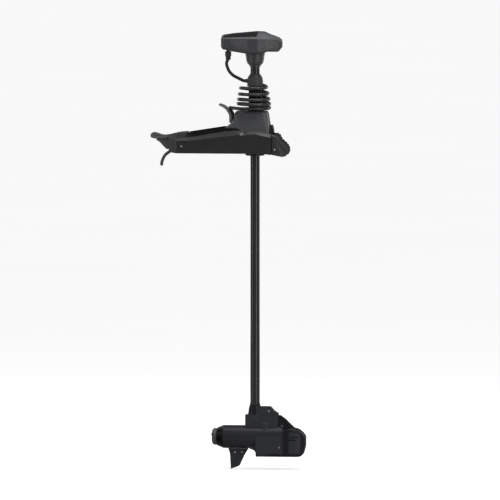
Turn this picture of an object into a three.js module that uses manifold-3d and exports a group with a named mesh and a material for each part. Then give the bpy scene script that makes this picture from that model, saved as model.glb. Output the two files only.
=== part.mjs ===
// Bow-mount electric trolling motor with a tilting steering tower.
// Millimetres, +Z up, +X towards the bow, +Y to port.
// The origin is the middle of the mount's underside, on the boat's deck plane.
import * as THREE from "three";
import { mergeVertices } from "three/addons/utils/BufferGeometryUtils.js";
import Module from "manifold-3d";

const wasm = await Module();
wasm.setup();

// ---------- driving dimensions ----------
const SHAFT_X = 180; // shaft axis, ahead of the origin; every other x counts from the shaft axis
const GAP = 0.3; // running or fitting gap between neighbours
const WELD = 0.001; // corners closer than this are one corner

const SHAFT_R = 19.5;
const SHAFT_WALL = 3;
const SHAFT_TOP = 402;
const SHAFT_FOOT = -1088;

const BASE_REAR = -320;
const BASE_FLOOR = 8; // thickness of the channel floor
const BASE_FLOOR_FRONT = -52;
const WALL_IN = 54; // inner face of the channel walls, from the middle plane
const WALL_OUT = 60;
const BOLT_ROWS = [-290, -235, -125, -75]; // deck bolts through the channel floor
const BOLT_Y = 38;
const BOLT_R = 4.5;
const COVER_IN = 61;
const COVER_OUT = 75;
const COVER_FRONT = 73;

const PIVOT = [-120, 88]; // tilt axis [x, z]
const PIVOT_PIN_R = 6;
const PIVOT_BUSH_R = 8.6;
const PIVOT_BORE_R = 9; // holes that take the bushes

const SLEEVE_R = 27;
const SLEEVE_TOP = 277;
const TOWER_TOP = 174;
const TOWER_FOOT = 24;
const TOWER_HALF = 52;
const TOWER_WALL = 4;

const GEAR_MODULE = 2;
const GEAR_TEETH = 36;
const PINION_TEETH = 9;
const GEAR_CENTRES = (GEAR_MODULE * (GEAR_TEETH + PINION_TEETH)) / 2 + 0.4;

const CORD_R = 7;
const COIL_TURNS = 4.5;
const COIL_SPLIT = 1.25; // turns up to here belong to the tower, turns above to the shaft
const COIL_CENTRE_X = -5;
const COIL_Z = 188.2; // height of the lowest turn
const COIL_R = 66;
const COIL_TAPER = 0.75; // radius lost, times the turns squared
const COIL_PITCH = 14; // rise of the first turn
const COIL_SPREAD = 1.7; // further rise, times the turns squared
const COIL_SAG = 4.8; // each turn hangs lower to port than to starboard
const COIL_TUCK = 5; // the first part of a turn is drawn in by this
const COIL_TUCK_TURNS = 0.35;

const MOTOR_Z = -1182; // axis of the drive motor
const MOTOR_R = 48;
const MOTOR_WALL = 4;
const MOTOR_BORE = MOTOR_R - MOTOR_WALL;
const MOTOR_FIT = 0.4; // gap round the motor tube, inside and out
const MOTOR_REAR = -131.7;
const MOTOR_FRONT = 114;
const DRIVE_R = 5;
const BEARING_SEAT_R = 16; // outside of the front bearing, in the nose
const PROP_R = 145;
const PROP_X = -170;
const PROP_HUB_R = 35;

const PEDAL_PIVOT = [-343, 34];
const PEDAL_PIN_R = 4;
const LEVER_PIVOT = [-101, 132];
const LEVER_PIN_R = 3;
const LATCH_PIVOT = [-84, 20];

// ---------- solids from three.js geometry ----------

/** The closed triangle mesh of a geometry as a manifold solid that faces out. */
function solidFrom(geometry) {
  const loose = geometry.index ? geometry.toNonIndexed() : geometry;
  const bare = new THREE.BufferGeometry();
  bare.setAttribute("position", loose.getAttribute("position"));
  const merged = mergeVertices(bare, WELD);
  const vertProperties = merged.attributes.position.array;
  const triVerts = new Uint32Array(merged.index.array);
  const corner = [new THREE.Vector3(), new THREE.Vector3(), new THREE.Vector3()];
  let volume = 0;
  for (let i = 0; i < triVerts.length; i += 3) {
    corner.forEach((p, k) => p.fromArray(vertProperties, 3 * triVerts[i + k]));
    volume += corner[0].dot(corner[1].clone().cross(corner[2]));
  }
  if (volume < 0) triVerts.reverse();
  return new wasm.Manifold(new wasm.Mesh({ numProp: 3, vertProperties, triVerts }));
}

/** A solid box between two corners. */
function block(xLow, xHigh, yLow, yHigh, zLow, zHigh) {
  const box = new THREE.BoxGeometry(xHigh - xLow, yHigh - yLow, zHigh - zLow);
  box.translate((xLow + xHigh) / 2, (yLow + yHigh) / 2, (zLow + zHigh) / 2);
  return solidFrom(box);
}

/** A circle as points, with no point doubled where it closes. */
function circle(u, v, radius, sides) {
  return Array.from({ length: sides }, (_, i) => {
    const angle = (2 * Math.PI * i) / sides;
    return new THREE.Vector2(u + radius * Math.cos(angle), v + radius * Math.sin(angle));
  });
}

/** A flat THREE.Shape through [u, v] points, with round holes [u, v, radius]. */
function flatShape(points, holes) {
  const shape = new THREE.Shape(points.map(([u, v]) => new THREE.Vector2(u, v)));
  for (const [u, v, radius] of holes) {
    const sides = radius > 20 ? 24 : radius > 5 ? 12 : 8;
    shape.holes.push(new THREE.Path(circle(u, v, radius, sides)));
  }
  return shape;
}

/** An [x, z] outline given thickness along Y. */
function plate(points, yA, yB, holes = []) {
  const options = { depth: Math.abs(yB - yA), bevelEnabled: false };
  const geometry = new THREE.ExtrudeGeometry(flatShape(points, holes), options);
  geometry.rotateX(Math.PI / 2);
  geometry.translate(0, Math.max(yA, yB), 0);
  return solidFrom(geometry);
}

/** An [x, y] outline given height along Z. */
function slab(points, zLow, zHigh, holes = []) {
  const options = { depth: zHigh - zLow, bevelEnabled: false };
  const geometry = new THREE.ExtrudeGeometry(flatShape(points, holes), options);
  geometry.translate(0, 0, zLow);
  return solidFrom(geometry);
}

/** A closed [radius, height] profile turned about a vertical axis. */
function turned(profile, segments = 24, x = 0) {
  const points = profile.map(([r, h]) => new THREE.Vector2(r, h));
  points.push(points[0].clone());
  const geometry = new THREE.LatheGeometry(points, segments);
  geometry.rotateX(Math.PI / 2);
  geometry.translate(x, 0, 0);
  return solidFrom(geometry);
}

/** A closed [radius, x] profile turned about the fore-and-aft axis at height z. */
function turnedX(profile, z, segments = 24) {
  const points = profile.map(([r, h]) => new THREE.Vector2(r, h));
  points.push(points[0].clone());
  const geometry = new THREE.LatheGeometry(points, segments);
  geometry.rotateZ(-Math.PI / 2);
  geometry.translate(0, 0, z);
  return solidFrom(geometry);
}

/** A ring (or, with inner 0, a disc) turned about Z. */
function ring(inner, outer, zLow, zHigh, segments = 24, x = 0) {
  const profile = [[inner, zLow], [outer, zLow], [outer, zHigh], [inner, zHigh]];
  return turned(profile, segments, x);
}

/** A round bar across the object (along Y), or a tube when inner is given. */
function crossBar([x, z], radius, yA, yB, inner = 0, segments = 14) {
  const bar = turned([[inner, yA], [radius, yA], [radius, yB], [inner, yB]], segments);
  return bar.rotate([-90, 0, 0]).translate([x, 0, z]);
}

/** A round cord along a smooth curve through points. */
function cord(points, radius, steps, sides = 8) {
  const curve = new THREE.CatmullRomCurve3(points.map((p) => new THREE.Vector3(...p)));
  const section = new THREE.Shape(circle(0, 0, radius, sides));
  const options = { steps, extrudePath: curve, bevelEnabled: false };
  return solidFrom(new THREE.ExtrudeGeometry(section, options));
}

/** Rounds the corners of an outline; a point [u, v, trim] gives its own trim length. */
function rounded(points, trim = 0, steps = 3) {
  const out = [];
  points.forEach((point, i) => {
    const corner = new THREE.Vector2(point[0], point[1]);
    const cut = point[2] ?? trim;
    if (!cut) {
      out.push([corner.x, corner.y]);
      return;
    }
    const before = points[(i + points.length - 1) % points.length];
    const after = points[(i + 1) % points.length];
    const towards = ([u, v]) => {
      const way = new THREE.Vector2(u, v).sub(corner);
      return way.setLength(Math.min(cut, way.length() * 0.49)).add(corner);
    };
    const curve = new THREE.QuadraticBezierCurve(towards(before), corner, towards(after));
    for (const p of curve.getPoints(steps)) out.push([p.x, p.y]);
  });
  return out;
}

/** A rounded rectangle as [u, v] points. */
function roundedRect(uLow, uHigh, vLow, vHigh, trim, steps = 3) {
  return rounded([[uLow, vLow], [uHigh, vLow], [uHigh, vHigh], [uLow, vHigh]], trim, steps);
}

/** Triangles of a flat ring of [u, v] points, wound as the ring is. */
function capTriangles(ringPoints) {
  const flat = ringPoints.map(([u, v]) => new THREE.Vector2(u, v));
  const way = Math.sign(THREE.ShapeUtils.area(flat));
  return THREE.ShapeUtils.triangulateShape(flat, []).map(([a, b, c]) => {
    const turn = THREE.ShapeUtils.area([flat[a], flat[b], flat[c]]);
    return Math.sign(turn) === way ? [a, b, c] : [a, c, b];
  });
}

/** A body lofted through sections { at, ring }; place turns (at, u, v) into [x, y, z]. */
function loft(sections, place) {
  const count = sections[0].ring.length;
  const points = sections.flatMap(({ at, ring: points2 }) =>
    points2.map(([u, v]) => place(at, u, v)),
  );
  const faces = [];
  for (let s = 0; s + 1 < sections.length; s++)
    for (let i = 0; i < count; i++) {
      const j = (i + 1) % count;
      const low = s * count;
      const high = low + count;
      faces.push([low + i, low + j, high + j], [low + i, high + j, high + i]);
    }
  const last = (sections.length - 1) * count;
  for (const [a, b, c] of capTriangles(sections[0].ring)) faces.push([a, c, b]);
  for (const [a, b, c] of capTriangles(sections.at(-1).ring))
    faces.push([last + a, last + b, last + c]);
  const geometry = new THREE.BufferGeometry();
  geometry.setAttribute("position", new THREE.Float32BufferAttribute(points.flat(), 3));
  geometry.setIndex(faces.flat());
  return solidFrom(geometry);
}

const alongX = (x, y, z) => [x, y, z];
const alongY = (y, x, z) => [x, y, z];
const alongZ = (z, x, y) => [x, y, z];

/** Piecewise-linear height of a line of [at, value] points. */
function onLine(line, at) {
  const i = Math.max(1, line.findIndex(([u]) => u >= at));
  const [u0, v0] = line[i - 1];
  const [u1, v1] = line[i];
  return v0 + ((v1 - v0) * (at - u0)) / (u1 - u0);
}

// ---------- colours ----------
const paint = (color, roughness, metalness = 0) => ({ color, roughness, metalness });
const MATERIALS = {
  casing: paint(0x2f3032, 0.55),
  end: paint(0x3a3c3f, 0.6),
  gloss: paint(0x16181b, 0.18),
  rubber: paint(0x121314, 0.85),
  aluminium: paint(0x3b3d40, 0.5, 0.7),
  steel: paint(0xb9bcc0, 0.3, 1),
  shaft: paint(0x17181a, 0.3),
  drive: paint(0x23272c, 0.45),
  copper: paint(0xa35a2a, 0.4, 0.9),
  board: paint(0x1d5a38, 0.6),
  brass: paint(0xb08d45, 0.35, 1),
};

/** One named mesh of a solid, in its own material. */
function piece(name, solid, finish) {
  const { vertProperties, triVerts } = solid.getMesh();
  const geometry = new THREE.BufferGeometry();
  geometry.setAttribute("position", new THREE.BufferAttribute(vertProperties, 3));
  geometry.setIndex(new THREE.BufferAttribute(triVerts, 1));
  geometry.computeVertexNormals();
  const mesh = new THREE.Mesh(geometry, new THREE.MeshStandardMaterial(MATERIALS[finish]));
  mesh.name = name;
  return mesh;
}

/** Both hands of a piece: make(side) with side -1 to starboard and +1 to port. */
function pair(name, finish, make) {
  return [piece(name + "_right", make(-1), finish), piece(name + "_left", make(1), finish)];
}

// ---------- mounting base ----------
// Side covers, from stern to bow: [x, height of the inner edge, height of the outer edge, trim].
const CREST = [
  [BASE_REAR, 64, 53.5], [-262, 69, 54.5], [-116, 93.4, 73], [-64, 96.5, 78, 4],
  [-38, 91, 77, 4], [0, 96.5, 82.5], [38, 88.5, 75], [COVER_FRONT, 82.5, 69.5],
];
const COVER_SCREW = [-49, 80.5]; // [x, z]

function baseChannel() {
  const wall = rounded([
    [BASE_REAR + 1, 0], [BASE_REAR + 1, 60], [-283, 65.5], [-279, 84, 3], [-134, 106.9],
    [-75, 105.5, 5], [-62, 101, 4], [-50, 90, 4], [-38, 88], [0, 93.5], [38, 85.5], [73, 79.5],
    [84, 76], [97, 69], [105, 53], [118, 41], [127, 22], [122, 2], [110, -4], [60, 1],
    [BASE_FLOOR_FRONT + 20, 0],
  ]);
  const holes = [[...PIVOT, PIVOT_PIN_R + GAP]];
  const left = plate(wall, WALL_IN, WALL_OUT, holes);
  const right = plate(wall, -WALL_OUT, -WALL_IN, holes);
  const floor = slab(
    roundedRect(BASE_REAR + 1, BASE_FLOOR_FRONT, -WALL_IN - 1, WALL_IN + 1, 0),
    0,
    BASE_FLOOR,
    BOLT_ROWS.flatMap((x) => [[x, BOLT_Y, BOLT_R], [x, -BOLT_Y, BOLT_R]]),
  );
  const [lugX, lugZ] = LATCH_PIVOT;
  const lug = roundedRect(lugX - 6, lugX + 6, BASE_FLOOR - 1, lugZ + 6, 3);
  return left.add(right).add(floor).add(plate(lug, 9, 13));
}

function sideCover(side) {
  const foot = [[COVER_FRONT, -3.5], [40, 1], [BASE_REAR, 1]];
  const crest = rounded([...CREST.map(([x, z, , trim]) => [x, z, trim]), ...foot]);
  const shoulder = rounded([...CREST.map(([x, , z, trim]) => [x, z, trim]), ...foot]);
  const outer = loft(
    [
      { at: side * COVER_IN, ring: crest },
      { at: side * (COVER_IN + 1.5), ring: crest },
      { at: side * COVER_OUT, ring: shoulder },
    ],
    alongY,
  );
  const rear = BASE_REAR + 4;
  const front = COVER_FRONT - 4;
  const roof = CREST.map(([x, , z]) => [THREE.MathUtils.clamp(x, rear, front), z - 5]);
  const hollow = plate([...roof, [front, 5], [rear, 5]], side * WALL_OUT, side * (COVER_OUT - 3.5));
  return outer.subtract(hollow);
}

const CABLE_Y = -32; // the power cable runs along the starboard side of the channel
const CABLE_R = 6.5;
const CABLE_PATH = [
  [-128, 14.5], [-240, 14.5], [-325, 14.5], [-338, 13.5], [-348, 9.5], [-357, 3], [-364, -2.5],
  [-369.5, -6.8], [-375.8, -15.2], [-379.7, -23.4], [-383.3, -31.8], [-385.5, -40.1],
  [-386.5, -52],
].map(([x, z]) => [x, CABLE_Y, z]);
const NOTCH_HALF = CABLE_R + 1;
const NOTCH = [-360, -330, CABLE_Y - NOTCH_HALF, CABLE_Y + NOTCH_HALF, -5, 22]; // the cable's way out

function rearEndCap() {
  const rear = [[-45, 4], [45, 4], [45, 63], [34, 75], [-34, 75], [-45, 63]];
  const front = [[-74, 1], [74, 1], [74, 53], [58, 82], [-58, 82], [-74, 53]];
  const cap = loft(
    [{ at: -355, ring: rear }, { at: -322, ring: front }, { at: BASE_REAR - GAP, ring: front }],
    alongX,
  );
  const hood = plate(
    [
      [-322, 50], [-322, 82], [-308, 84.3], [-296, 85.1], [-284, 86], [-268, 76.5], [-258, 69],
      [-258, 50],
    ],
    -53,
    53,
  );
  const cavity = block(-338, -250, -50, 50, 7.5, 48);
  const pedalSlot = block(-360, -330, -19, 19, 5, 100);
  const pinHole = crossBar(PEDAL_PIVOT, PEDAL_PIN_R + GAP, -28, 28);
  const shell = cap.add(hood).subtract(cavity).subtract(pedalSlot);
  return shell.subtract(block(...NOTCH)).subtract(pinHole);
}

function bowArm(side) {
  const outline = rounded([
    [COVER_FRONT + 0.5, -3], [COVER_FRONT + 0.5, 82], [86, 78, 6], [98, 71, 6], [105, 56, 6],
    [119, 44, 8], [131, 28, 8], [136, 13, 8], [134, 0, 6], [126, -11.5, 5], [116, -11.5, 8],
    [100, -8, 8],
  ]);
  const middle = [103, 34];
  const domed = outline.map(([x, z]) => [
    THREE.MathUtils.lerp(x, middle[0], 0.1),
    THREE.MathUtils.lerp(z, middle[1], 0.1),
  ]);
  return loft(
    [
      { at: side * (COVER_IN - 0.5), ring: outline },
      { at: side * 66, ring: outline },
      { at: side * 70, ring: domed },
    ],
    alongY,
  );
}

const PAD_EDGE = [
  [83, 81], [99, 72.5], [108, 56], [122.5, 43], [135.5, 27.5], [139.5, 12], [136.5, 0],
  [129, -10],
];
const PAD_RIDGES = 9;
const PAD_RISE = 2.8;

function bowPad(side) {
  const edge = new THREE.CatmullRomCurve3(PAD_EDGE.map(([x, z]) => new THREE.Vector3(x, 0, z)));
  const steps = PAD_RIDGES * 4;
  const outline = [];
  for (let i = 0; i <= steps; i++) {
    const point = edge.getPointAt(i / steps);
    const along = edge.getTangentAt(i / steps);
    const rise = PAD_RISE * Math.abs(Math.sin((Math.PI * PAD_RIDGES * i) / steps));
    outline.push([point.x - along.z * rise, point.z + along.x * rise]);
  }
  outline.push([110, -4], [114, 20], [104, 38], [91, 50], [80, 64]);
  const core = [
    [60, 95], [84.5, 77], [98, 70], [106, 54], [119, 42], [128, 22], [123, 1], [112, -12],
    [60, -12],
  ];
  const pad = plate(outline, side * 47, side * WALL_OUT);
  return pad.subtract(plate(core, side * (WALL_IN - 0.5), side * COVER_IN));
}

const powerCable = () => cord(CABLE_PATH, CABLE_R, 40);

/** A rubber block that fills the end cap's notch round the cable. */
function cableGland() {
  const [, , yLow, yHigh] = NOTCH;
  const filling = block(-354, -341, yLow + GAP, yHigh - GAP, 5, 21.7);
  return filling.subtract(cord(CABLE_PATH, CABLE_R + GAP, 60));
}

const pedalPin = () => crossBar(PEDAL_PIVOT, PEDAL_PIN_R, -27, 27);

function pedalSpring() {
  const turns = 3;
  const perTurn = 8;
  const radius = 6;
  const length = 4.2;
  const [x, z] = PEDAL_PIVOT;
  const points = [];
  for (let i = 0; i <= turns * perTurn; i++) {
    const angle = (2 * Math.PI * i) / perTurn;
    const y = 13.4 + (i * length) / (turns * perTurn);
    points.push([x + radius * Math.cos(angle), y, z + radius * Math.sin(angle)]);
  }
  return cord(points, 0.8, 30, 4);
}

function baseGroup() {
  const group = new THREE.Group();
  const pinEnd = WALL_OUT + GAP;
  group.add(
    piece("base_channel", baseChannel(), "aluminium"),
    ...pair("side_cover", "casing", sideCover),
    piece("rear_end_cap", rearEndCap(), "end"),
    ...pair("bow_arm", "end", bowArm),
    ...pair("bow_pad", "rubber", bowPad),
    ...pair("cover_screw", "steel", (side) =>
      crossBar(COVER_SCREW, 4.6, side * (COVER_OUT + GAP), side * (COVER_OUT + 2.3)),
    ),
    piece("tilt_pin", crossBar(PIVOT, PIVOT_PIN_R, -pinEnd, pinEnd), "steel"),
    piece("power_cable", powerCable(), "rubber"),
    piece("cable_gland", cableGland(), "rubber"),
    piece("pedal_pin", pedalPin(), "steel"),
    piece("pedal_spring", pedalSpring(), "steel"),
  );
  return group;
}

// ---------- release pedal and tilt latch ----------
function releasePedal() {
  const web = plate(
    [
      [-410, 66], [-410, 52], [-401, 46.3], [-392, 39.2], [-385, 30.5], [-376, 21.8],
      [-369, 14.5], [-349, 13], [-338.5, 14], [-334, 30], [-336, 42], [-344, 50], [-353, 66],
    ],
    -12,
    12,
    [[...PEDAL_PIVOT, PEDAL_PIN_R + 0.7]],
  );
  const tread = plate(
    rounded([
      [-434, 68, 3], [-431, 81, 3], [-422, 82.5, 3], [-414, 81.5, 3], [-406, 79, 4],
      [-390, 73.5, 5], [-378, 72, 5], [-364, 73.5, 4], [-356, 75, 2], [-356, 64, 2],
      [-378, 62, 5], [-395, 62, 5], [-412, 58, 5], [-428, 62, 3],
    ]),
    -30,
    30,
  );
  return web.add(tread);
}

function latchRod() {
  const rodZ = 13;
  return turnedX([[0, -336.5], [3, -336.5], [3, -94], [0, -94]], rodZ, 10);
}

function tiltLatch() {
  const outline = rounded([
    [-91.5, 13, 1], [-87, 10.5, 2], [-80, 16], [-64, 23.4], [-57, 23.4], [-57, 27, 1],
    [-66, 29.5, 4], [-84, 27.4, 4], [-90, 21, 4],
  ]);
  return plate(outline, -8, 8).add(crossBar(LATCH_PIVOT, 2.5, -8, 8.7));
}

// ---------- steering tower ----------
const TOWER_REAR = [
  [TOWER_FOOT, -66], [64, -70], [74, -106], [80, -128], [88, -134], [96, -131], [103, -124.5],
  [114, -111], [126, -96], [137, -89], [162, -84], [170, -81], [TOWER_TOP, -76],
];
const TOWER_FRONT = [
  [TOWER_FOOT, 56], [72, 60], [117, 62], [148, 58], [162, 56.5], [170, 54], [TOWER_TOP, 51],
];
const TOWER_SIDE = [
  [TOWER_FOOT, TOWER_HALF], [110, TOWER_HALF], [126, 50.5], [148, 48], [162, 46], [170, 43],
  [TOWER_TOP, 38],
];
const GLAND_X = -90; // the coil cord enters the tower's rear face here
const TOWER_CORNER = [[TOWER_FOOT, 8], [100, 12], [137, 24], [TOWER_TOP, 30]];

function towerSection(z, inset) {
  const half = onLine(TOWER_SIDE, z) - inset;
  const rear = onLine(TOWER_REAR, z) + inset;
  const front = onLine(TOWER_FRONT, z) - inset;
  return roundedRect(rear, front, -half, half, onLine(TOWER_CORNER, z), 3);
}

function towerHousing() {
  const levels = TOWER_REAR.map(([z]) => z);
  const outer = loft(levels.map((z) => ({ at: z, ring: towerSection(z, 0) })), alongZ);
  const roof = TOWER_TOP - TOWER_WALL;
  const inner = loft(
    levels.slice(0, -1).map((z, i) => ({
      at: i === 0 ? z - 1 : Math.min(z, roof),
      ring: towerSection(z, TOWER_WALL),
    })),
    alongZ,
  );
  const earSlot = block(-140, -98, -48, 48, 70, 106);
  const sleeveHole = ring(0, SLEEVE_R + 3, 160, 180);
  const lugOutline = rounded([[-84, 122], [-84, 146], [-103, 139, 5], [-108, 130, 6], [-103, 124, 5]]);
  const lugHole = [[...LEVER_PIVOT, LEVER_PIN_R + GAP]];
  const lugs = [-1, 1].map((side) => plate(lugOutline, side * 8.6, side * 12.4, lugHole));
  const cordHole = ring(0, 8.8, 120, 168, 16, GLAND_X);
  const latchSlot = block(-80, -50, -10, 10, 18, 44);
  const bushHoles = crossBar(PIVOT, PIVOT_BORE_R, -60, 60);
  let housing = outer.add(lugs[0]).add(lugs[1]);
  for (const cut of [inner, earSlot, sleeveHole, cordHole, latchSlot, bushHoles])
    housing = housing.subtract(cut);
  return housing;
}

function towerFrame() {
  const cheek = rounded([
    [-132.5, 84, 4], [-132.5, 94, 4], [-126, 100.5, 3], [-113, 100.5, 4], [-92, 96], [-58, 72],
    [46, 64, 4], [51, 58, 4], [51, 14], [-58, 14], [-58, 50], [-62, 66], [-104, 79],
    [-114, 75.5, 3], [-126, 75.5, 4],
  ]);
  const bore = [[...PIVOT, PIVOT_BORE_R]];
  const floor = block(-58, 51, -40, 40, 14, 22).subtract(ring(0, 34.3, 10, 30));
  return floor.add(plate(cheek, 39, 44, bore)).add(plate(cheek, -44, -39, bore));
}

function lowerBush() {
  const bore = SLEEVE_R + 0.4;
  return turned([[bore, -10], [38, -10], [40, -8], [40, 13.6], [34, 13.6], [34, 23], [bore, 23]]);
}

function upperSeal() {
  const bore = SLEEVE_R + 0.5;
  const top = TOWER_TOP + GAP;
  return turned([[bore, 166], [29.6, 166], [29.6, top], [36, top], [34, 180], [bore, 180]]);
}

/** A spur gear's outline; phase is in tooth pitches. */
function gearOutline(teeth, phase) {
  const pitchR = (GEAR_MODULE * teeth) / 2;
  const root = pitchR - 1.2 * GEAR_MODULE;
  const tip = pitchR + 0.75 * GEAR_MODULE;
  const points = [];
  for (let i = 0; i < teeth; i++)
    for (const [share, radius] of [[-0.27, root], [-0.1, tip], [0.1, tip], [0.27, root]]) {
      const angle = (2 * Math.PI * (i + phase + share)) / teeth;
      points.push([radius * Math.cos(angle), radius * Math.sin(angle)]);
    }
  return points;
}

const steeringGear = () =>
  slab(gearOutline(GEAR_TEETH, 0), 40, 50, [[0, 0, SLEEVE_R + 0.4]]);

function steeringPinion() {
  const pinion = slab(gearOutline(PINION_TEETH, 0.5), 39, 51).add(ring(0, 4, 51, 60, 12));
  return pinion.translate([-GEAR_CENTRES, 0, 0]);
}

const steeringMotor = () =>
  turned([[0, 61], [15.5, 61], [15.5, 138], [12, 144], [0, 144]], 20, -GEAR_CENTRES);

const controlBoard = () => block(40, 42, -28, 28, 72, 138);

const frontCatch = () =>
  plate(rounded([[62.6, 84], [62.6, 117], [74, 117, 3], [77, 105, 3], [80, 84, 2]]), -17, 17);

function cordGland() {
  return turned([[7.4, 136.5], [8.3, 136.5], [8.3, 151], [7.4, 151]], 16, GLAND_X);
}

const leverPin = () => crossBar(LEVER_PIVOT, LEVER_PIN_R, -18.6, 18.6);

function towerGroup() {
  const group = new THREE.Group();
  group.add(
    piece("tower_housing", towerHousing(), "casing"),
    piece("tower_frame", towerFrame(), "aluminium"),
    piece("lower_bush", lowerBush(), "rubber"),
    piece("upper_seal", upperSeal(), "rubber"),
    ...pair("pivot_bush", "brass", (side) =>
      crossBar(PIVOT, PIVOT_BUSH_R, side * 39, side * (WALL_IN - 0.6), PIVOT_PIN_R + GAP, 16),
    ),
    piece("steering_motor", steeringMotor(), "steel"),
    piece("control_board", controlBoard(), "board"),
    piece("front_catch", frontCatch(), "casing"),
    piece("cord_gland", cordGland(), "rubber"),
    piece("lever_pin", leverPin(), "steel"),
    piece("coil_cord_lower", coilCord(true), "rubber"),
  );
  return group;
}

function depthLever() {
  const outline = rounded([
    [-106, 132, 3], [-106.3, 158.5, 8], [-121, 181.5, 6], [-132.5, 190, 6], [-149.5, 197.5, 2],
    [-148.5, 205.5, 3], [-128, 199, 6], [-113.5, 188.5, 6], [-96.7, 161.5, 8], [-96, 132, 3],
    [-98.5, 127.5], [-103.5, 127.5],
  ]);
  const lever = plate(outline, -17, 17, [[...LEVER_PIVOT, LEVER_PIN_R + GAP]]);
  return lever.subtract(block(-127, -80, -12.8, 12.8, 110, 220));
}

// ---------- steering sleeve ----------
const steeringSleeve = () => ring(SHAFT_R + 1, SLEEVE_R, -6, SLEEVE_TOP, 32);

// ---------- coil cord ----------
/** A point of the coil after so many turns from its lowest point at the starboard side. */
function coilPoint(turns) {
  const angle = 2 * Math.PI * turns - Math.PI / 2;
  const tuck = COIL_TUCK * Math.max(0, 1 - turns / COIL_TUCK_TURNS);
  const radius = COIL_R - COIL_TAPER * turns * turns - tuck;
  const sag = COIL_SAG * Math.sin(2 * Math.PI * turns);
  return [
    COIL_CENTRE_X + radius * Math.cos(angle),
    radius * Math.sin(angle),
    COIL_Z + COIL_PITCH * turns + COIL_SPREAD * turns * turns - sag,
  ];
}

function coilCord(lower) {
  const perTurn = 12;
  const from = lower ? 0 : COIL_SPLIT + 0.01;
  const to = lower ? COIL_SPLIT : COIL_TURNS;
  const points = lower
    ? [
        [GLAND_X, 0, 137], [GLAND_X, 0, 145], [GLAND_X, 0, 152], [-94, -1, 165], [-101, -4, 179],
        [-102.5, -17, 188], [-92, -38, 189], [-50, -58, 187],
      ]
    : [];
  const count = Math.round((to - from) * perTurn);
  for (let i = 0; i <= count; i++) points.push(coilPoint(from + ((to - from) * i) / count));
  return cord(points, CORD_R, lower ? 44 : 56, 6);
}

// ---------- shaft, collar and head ----------
const shaftTube = () => ring(SHAFT_R - SHAFT_WALL, SHAFT_R, SHAFT_FOOT, SHAFT_TOP, 32);

const shaftWires = () => ring(0, 6, SHAFT_FOOT + 4, SHAFT_TOP - 3, 10);

const COLLAR_R = 33.2;
const HEAD_CABLE_Z = 299.5;
const HEAD_CABLE_R = 6.6;

function cordCollar(side) {
  const foot = SLEEVE_TOP + 0.6;
  const bore = SHAFT_R + GAP;
  const whole = turned(
    [[bore, foot], [COLLAR_R - 1, foot], [COLLAR_R, foot + 2], [COLLAR_R, 300], [31.5, 311],
      [29, 316], [22.5, 326], [21.5, 329], [bore, 329]],
    32,
  );
  if (side > 0) return whole.subtract(block(-50, 0.3, -50, 50, 250, 350));
  const cablePort = turnedX([[0, -40], [8.3, -40], [8.3, -28], [0, -28]], HEAD_CABLE_Z, 14);
  const cordPort = block(-18, -7.4, 26, 61, 278, 296);
  const bored = cablePort.add(cordPort).subtract(ring(0, bore + 2, 250, 350));
  return whole.subtract(block(-0.3, 50, -50, 50, 250, 350)).add(bored);
}

const STEM_TOP = 413.4;

function headStem() {
  const bore = SHAFT_R + GAP;
  const stem = turned(
    [[bore, 358], [22.5, 358], [23, 364], [25, 365.5], [29, 369], [34.4, 377], [36.5, 385],
      [37.8, 394], [38.8, 402], [40.5, 411], [40.8, STEM_TOP], [bore, STEM_TOP]],
    24,
  );
  return stem.subtract(block(-1, 1, -45, -15, 350, 420));
}

// Head: lines of [x, value] along its length.
const HEAD_REAR = -136;
const HEAD_NOSE = 113;
const HEAD_STATIONS = [HEAD_REAR, -129, -90, -28, 18, 41, 46, 66, 84, 103, HEAD_NOSE];
const HEAD_RIDGE = [
  [HEAD_REAR, 489], [-129, 491.5], [-90, 498], [10, 507.5], [41, 506.5], [65, 495],
  [103, 482], [HEAD_NOSE, 472],
];
const HEAD_EDGE = [
  [HEAD_REAR, 476], [-129, 478], [18, 479], [84, 474], [103, 468], [HEAD_NOSE, 459],
];
const HEAD_KEEL = [
  [HEAD_REAR, 440], [-129, 432], [-119, 431], [-87, 424], [-28, 414.8], [18, 414.4], [41, 414.6],
  [46, 423], [98, 421.5], [HEAD_NOSE, 440],
];
const HEAD_HALF = [
  [HEAD_REAR, 58], [-129, 68], [-90, 70], [18, 70], [84, 36], [103, 24], [HEAD_NOSE, 14],
];

function headSection(x, inset) {
  const half = onLine(HEAD_HALF, x) - inset;
  const ridge = onLine(HEAD_RIDGE, x) - inset;
  const edge = onLine(HEAD_EDGE, x) - inset * 0.4;
  const keel = onLine(HEAD_KEEL, x) + inset;
  const chine = keel + Math.min(8, half * 0.3);
  const flat = half * 0.45;
  const right = [
    [-flat, ridge - (ridge - edge) * 0.28], [-half, edge], [-half + 2, chine], [-half + 9, keel],
  ];
  const left = right.map(([y, z]) => [-y, z]).reverse();
  return [[0, ridge], ...right, ...left];
}

function headBody(inset) {
  const stations = HEAD_STATIONS.map((x) =>
    THREE.MathUtils.clamp(x, HEAD_REAR + inset, HEAD_NOSE - inset),
  );
  return loft(stations.map((x) => ({ at: x, ring: headSection(x, inset) })), alongX);
}

const HEAD_SPLIT = 472; // the lower and upper shells meet at this height
const HEAD_WALL = 3;
const PANEL_SEAT = 474; // the display panel's edges go down to this height
const PLUG_X = -112;

function headLowerShell() {
  const shell = headBody(0).subtract(headBody(HEAD_WALL));
  const above = block(-200, 200, -100, 100, HEAD_SPLIT, 600);
  const stemHole = ring(0, SHAFT_R + 1, 400, 430);
  const plugHole = ring(0, 8, 400, 445, 16, PLUG_X);
  return shell.subtract(above).subtract(stemHole).subtract(plugHole);
}

const PANEL_RECT = [-126, 14, -58, 58];

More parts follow.
